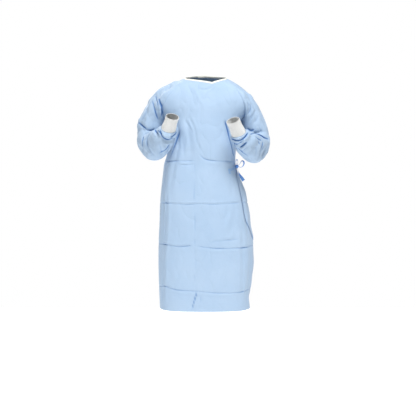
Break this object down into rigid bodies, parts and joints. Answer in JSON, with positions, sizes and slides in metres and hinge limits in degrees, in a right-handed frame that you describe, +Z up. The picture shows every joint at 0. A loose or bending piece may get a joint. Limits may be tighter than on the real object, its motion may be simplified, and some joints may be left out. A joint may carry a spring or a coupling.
{
  "type": "surgical gown",
  "caption": "Blue wrap-over surgical gown with raglan sleeves, knitted cuffs and a side tie, hollow as worn with the forearms raised.",
  "frame": {"origin": "between the shoulders, level with the neck opening, where a wearer's shoulders hold the gown up", "axes": "+Z up along the gown's length, -Y out of its front, +X towards the wearer's left"},
  "size_m": [0.6473, 0.4231, 1.1449],
  "materials": {
    "gown_cloth": "matt non-woven, pale blue",
    "cuff_knit": "matt fine rib knit, white",
    "neck_tape": "matt tape, cream white",
    "tie_cloth": "matt non-woven, mid blue"
  },
  "bodies": {
    "root": {"front": "gown_cloth", "back_wrap": "gown_cloth", "back_under": "gown_cloth", "sleeve_right": "gown_cloth", "sleeve_left": "gown_cloth", "cuff_right": "cuff_knit", "cuff_left": "cuff_knit", "neck_binding": "neck_tape", "tie_patch": "tie_cloth", "tie_front": "tie_cloth", "tie_back": "tie_cloth", "tie_knot": "tie_cloth", "tie_loop": "tie_cloth", "tie_loop_upper": "tie_cloth", "tie_tail": "tie_cloth"}
  },
  "joints": []
}
